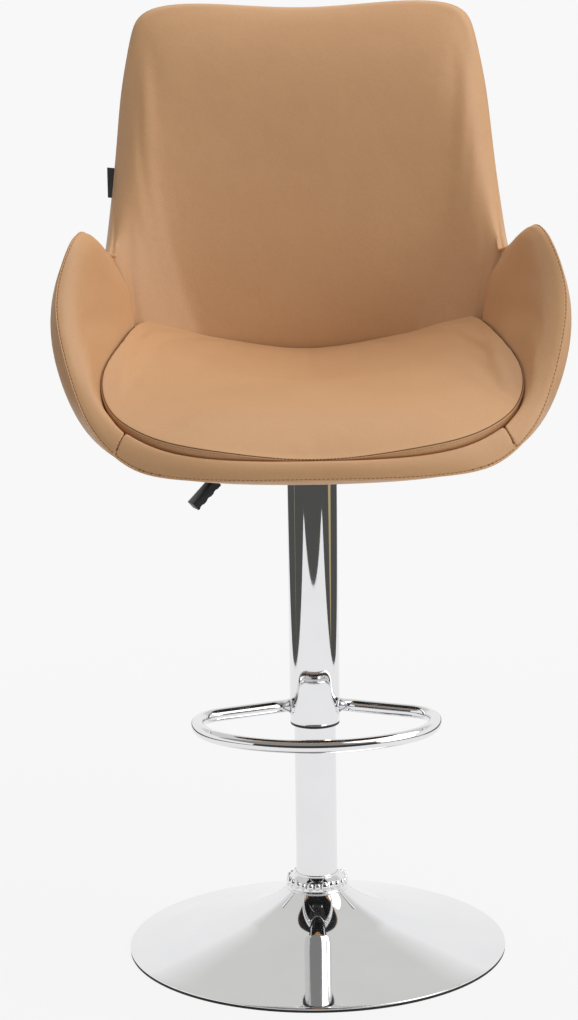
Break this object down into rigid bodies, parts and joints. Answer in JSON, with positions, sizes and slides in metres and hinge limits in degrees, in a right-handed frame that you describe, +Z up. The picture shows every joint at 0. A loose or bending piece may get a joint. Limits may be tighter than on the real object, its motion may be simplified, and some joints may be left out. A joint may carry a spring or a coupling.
{
  "type": "bar stool with footrest",
  "caption": "Padded bucket seat with a high back and curved arms on a chromed gas-lift column with a D-shaped footrest and a round trumpet base.",
  "frame": {"origin": "on the floor, at the column's axis", "axes": "+Z up, the sitter faces -Y, +X is to the right seen from the front"},
  "size_m": [0.6046, 0.4812, 1.1251],
  "materials": {
    "chrome_plate": "polished",
    "plain_steel": "satin",
    "bright_steel": "gloss",
    "dark_steel": "satin",
    "cast_weight": "matte",
    "black_plastic": "satin",
    "black_rubber": "matte",
    "brass_cage": "satin",
    "plywood": "matte",
    "tan_cover": "satin",
    "tan_padding": "satin",
    "woven_tab": "matte",
    "black_cloth": "matte"
  },
  "bodies": {
    "base": {"base_plate": "chrome_plate", "floor_ring": "black_rubber", "ballast_ring": "cast_weight", "base_socket": "plain_steel", "collar_ring": "chrome_plate", "column_tube": "chrome_plate", "column_end_plate": "plain_steel", "guide_bush": "black_plastic", "bearing_damper": "black_rubber", "bearing_lower_race": "bright_steel", "ball_cage": "brass_cage", "bearing_balls": "bright_steel"},
    "spindle": {"piston_rod": "bright_steel", "bearing_upper_race": "bright_steel", "piston": "bright_steel", "piston_seal": "black_rubber", "rod_washer": "plain_steel", "rod_clip": "bright_steel"},
    "seat": {"gas_cylinder": "dark_steel", "rod_guide": "black_plastic", "valve_housing": "plain_steel", "sleeve_tube": "chrome_plate", "sleeve_bush": "black_plastic", "sleeve_cap": "plain_steel", "footrest_ring": "chrome_plate", "plate_socket": "plain_steel", "mechanism_box": "dark_steel", "lever_pin": "bright_steel", "seat_plate": "dark_steel", "seat_bolts": "bright_steel", "bolt_washers": "bright_steel", "tee_nuts": "bright_steel", "cushion_board": "plywood", "bottom_cloth": "black_cloth", "outer_cover": "tan_cover", "seat_shell": "plywood", "back_pad": "tan_padding", "arm_pad_left": "tan_padding", "arm_pad_right": "tan_padding", "front_rail_pad": "tan_padding", "seat_cushion": "tan_padding", "side_tab": "woven_tab"},
    "lever": {"lever_bar": "plain_steel", "lever_grip": "black_plastic"},
    "valve_pin": {"release_pin": "bright_steel"}
  },
  "joints": [
    {"name": "seat_swivel", "type": "hinge", "parent": "base", "child": "spindle", "pos_m": [0, 0, 0.03], "axis": [0, 0, 1], "continuous": true},
    {"name": "seat_height", "type": "slide", "parent": "spindle", "child": "seat", "axis": [0, 0, 1], "range_m": [-0.185, 0.02]},
    {"name": "lever_lift", "type": "hinge", "parent": "seat", "child": "lever", "pos_m": [-0.02876, -0.01403, 0.599], "axis": [-0.4384, 0.8988, 0], "range_deg": [0, 5], "stiffness_Nm_per_rad": 2, "springref_deg": -4.58},
    {"name": "valve_press", "type": "slide", "parent": "seat", "child": "valve_pin", "axis": [0, 0, 1], "range_m": [-0.003, 0]}
  ],
  "couplings": [
    {"joint": "valve_press", "follows": "lever_lift", "m_per_rad": -0.032}
  ]
}
